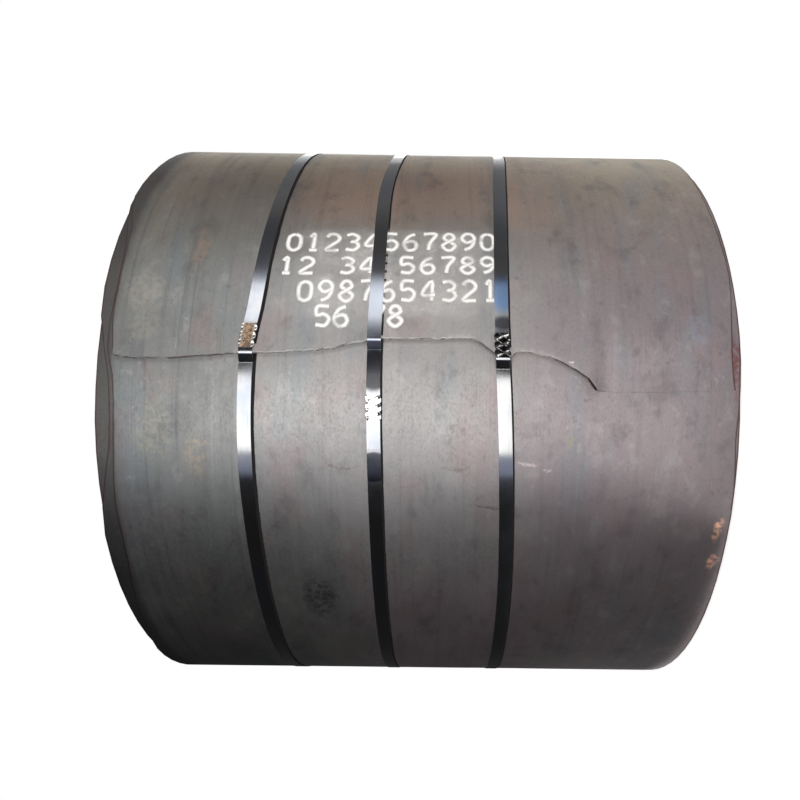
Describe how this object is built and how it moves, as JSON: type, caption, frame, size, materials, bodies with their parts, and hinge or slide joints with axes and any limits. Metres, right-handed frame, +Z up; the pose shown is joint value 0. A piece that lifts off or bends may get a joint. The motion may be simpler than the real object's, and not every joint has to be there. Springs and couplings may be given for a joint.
{
  "type": "steel coil",
  "caption": "Coil of hot-rolled steel strip standing on one end, with an open round bore, held by steel straps with crimped seals.",
  "frame": {"origin": "on the bore's axis, at the end that the coil stands on", "axes": "+Z up along the bore, -Y the side with the strap seals"},
  "size_m": [1.784, 1.788, 1.5],
  "materials": {
    "mill_scale_steel": "hot-rolled mill scale with faint rust and streaks along the strip",
    "strap_steel": "blued steel strap, half gloss",
    "seal_steel": "bare crimped steel, dull with bright creases"
  },
  "bodies": {
    "root": {"coil": "mill_scale_steel", "strap_upper": "strap_steel", "strap_middle": "strap_steel", "strap_lower": "strap_steel", "seal_upper": "seal_steel", "seal_middle": "seal_steel", "seal_lower": "seal_steel"}
  },
  "joints": []
}
